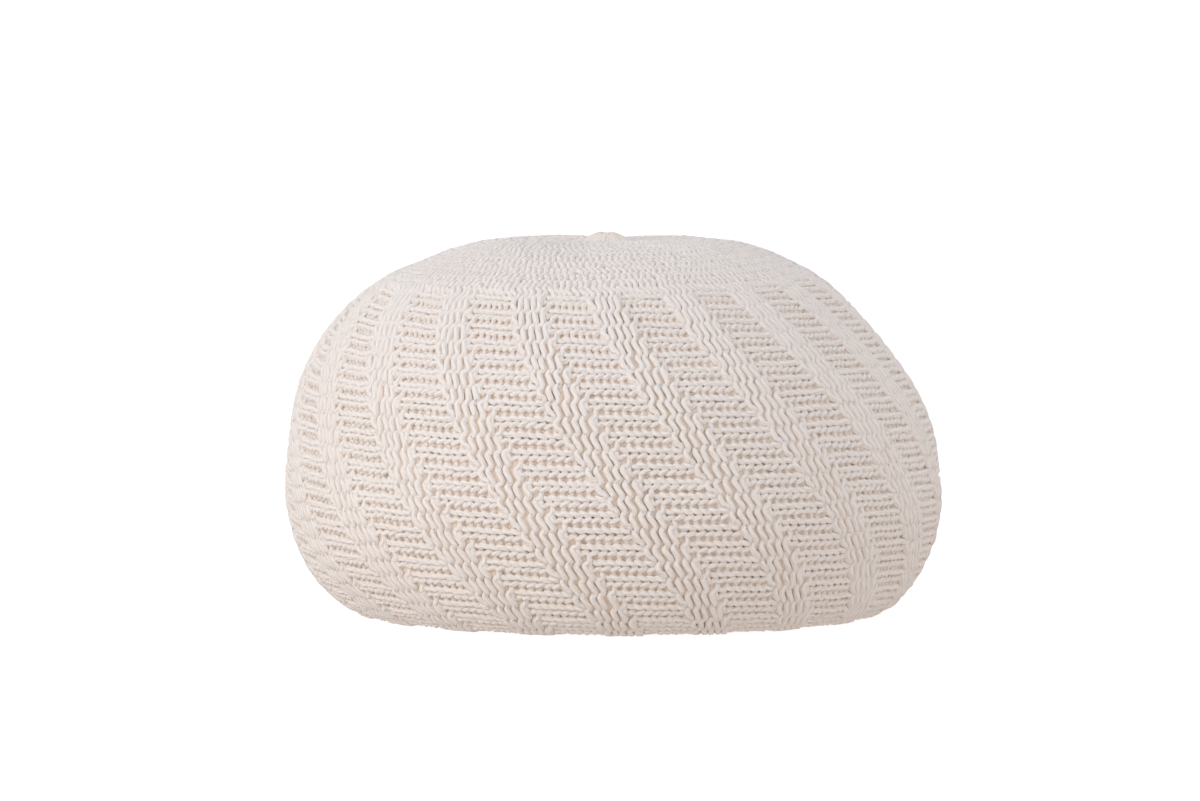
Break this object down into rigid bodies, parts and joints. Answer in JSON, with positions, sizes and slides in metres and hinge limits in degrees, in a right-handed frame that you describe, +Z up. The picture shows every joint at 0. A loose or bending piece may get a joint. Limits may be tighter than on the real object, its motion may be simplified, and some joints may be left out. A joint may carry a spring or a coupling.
{
  "type": "knitted pouf",
  "caption": "Squat round filled pouf in chunky knit: flat base, drawn-in sides with slanted raised bands, and a plain domed crown gathered to a small nub.",
  "frame": {"origin": "centre of the footprint, on the floor plane under the flat base", "axes": "+Z up through the gathered crown; the pictured side faces -Y, with +X to its right"},
  "size_m": [0.6, 0.6006, 0.3455],
  "materials": {
    "yarn": "matt cream cotton yarn, knitted"
  },
  "bodies": {
    "root": {"knitted_body": "yarn"}
  },
  "joints": []
}
